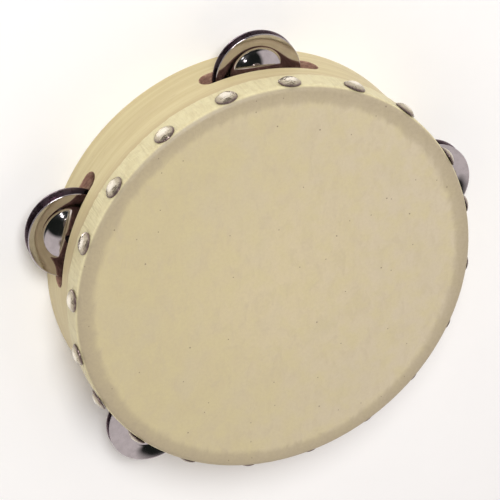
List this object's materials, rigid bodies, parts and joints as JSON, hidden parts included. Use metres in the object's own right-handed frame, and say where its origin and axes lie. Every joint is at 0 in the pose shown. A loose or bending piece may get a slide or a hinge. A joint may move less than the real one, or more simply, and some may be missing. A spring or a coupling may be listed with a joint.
{
  "type": "tambourine",
  "caption": "Round wooden hand tambourine: a hide head nailed over a bent-wood hoop, with pairs of loose metal jingles on pins in slots around it.",
  "frame": {"origin": "centre of the head's playing face, on the drum's axis", "axes": "+Z along the drum's axis, out of the head; +Y through the middle of jingle pair 1"},
  "size_m": [0.2284, 0.2204, 0.0502],
  "materials": {
    "hoop_wood": "satin, clear sealed birch",
    "head_hide": "matte natural hide, cream",
    "nail_nickel": "polished nickel",
    "pin_steel": "plain drawn steel wire",
    "jingle_nickel": "polished nickel plate"
  },
  "bodies": {
    "drum": {"hoop": "hoop_wood", "hide_head": "head_hide", "nail_01": "nail_nickel", "nail_02": "nail_nickel", "nail_03": "nail_nickel", "nail_04": "nail_nickel", "nail_05": "nail_nickel", "nail_06": "nail_nickel", "nail_07": "nail_nickel", "nail_08": "nail_nickel", "nail_09": "nail_nickel", "nail_10": "nail_nickel", "nail_11": "nail_nickel", "nail_12": "nail_nickel", "nail_13": "nail_nickel", "nail_14": "nail_nickel", "nail_15": "nail_nickel", "nail_16": "nail_nickel", "nail_17": "nail_nickel", "nail_18": "nail_nickel", "nail_19": "nail_nickel", "nail_20": "nail_nickel", "jingle_pin_1": "pin_steel", "jingle_pin_2": "pin_steel", "jingle_pin_3": "pin_steel", "jingle_pin_4": "pin_steel", "jingle_pin_5": "pin_steel"},
    "jingle_1_lower": {"jingle_1_lower": "jingle_nickel"},
    "jingle_1_upper": {"jingle_1_upper": "jingle_nickel"},
    "jingle_2_lower": {"jingle_2_lower": "jingle_nickel"},
    "jingle_2_upper": {"jingle_2_upper": "jingle_nickel"},
    "jingle_3_lower": {"jingle_3_lower": "jingle_nickel"},
    "jingle_3_upper": {"jingle_3_upper": "jingle_nickel"},
    "jingle_4_lower": {"jingle_4_lower": "jingle_nickel"},
    "jingle_4_upper": {"jingle_4_upper": "jingle_nickel"},
    "jingle_5_lower": {"jingle_5_lower": "jingle_nickel"},
    "jingle_5_upper": {"jingle_5_upper": "jingle_nickel"}
  },
  "joints": [
    {"name": "jingle_1_lower_slide", "type": "slide", "parent": "drum", "child": "jingle_1_lower", "axis": [0, 0, 1], "range_m": [0, 0.001]},
    {"name": "jingle_1_upper_slide", "type": "slide", "parent": "jingle_1_lower", "child": "jingle_1_upper", "axis": [0, 0, 1], "range_m": [0, 0.001]},
    {"name": "jingle_2_lower_slide", "type": "slide", "parent": "drum", "child": "jingle_2_lower", "axis": [0, 0, 1], "range_m": [0, 0.001]},
    {"name": "jingle_2_upper_slide", "type": "slide", "parent": "jingle_2_lower", "child": "jingle_2_upper", "axis": [0, 0, 1], "range_m": [0, 0.001]},
    {"name": "jingle_3_lower_slide", "type": "slide", "parent": "drum", "child": "jingle_3_lower", "axis": [0, 0, 1], "range_m": [0, 0.001]},
    {"name": "jingle_3_upper_slide", "type": "slide", "parent": "jingle_3_lower", "child": "jingle_3_upper", "axis": [0, 0, 1], "range_m": [0, 0.001]},
    {"name": "jingle_4_lower_slide", "type": "slide", "parent": "drum", "child": "jingle_4_lower", "axis": [0, 0, 1], "range_m": [0, 0.001]},
    {"name": "jingle_4_upper_slide", "type": "slide", "parent": "jingle_4_lower", "child": "jingle_4_upper", "axis": [0, 0, 1], "range_m": [0, 0.001]},
    {"name": "jingle_5_lower_slide", "type": "slide", "parent": "drum", "child": "jingle_5_lower", "axis": [0, 0, 1], "range_m": [0, 0.001]},
    {"name": "jingle_5_upper_slide", "type": "slide", "parent": "jingle_5_lower", "child": "jingle_5_upper", "axis": [0, 0, 1], "range_m": [0, 0.001]}
  ]
}
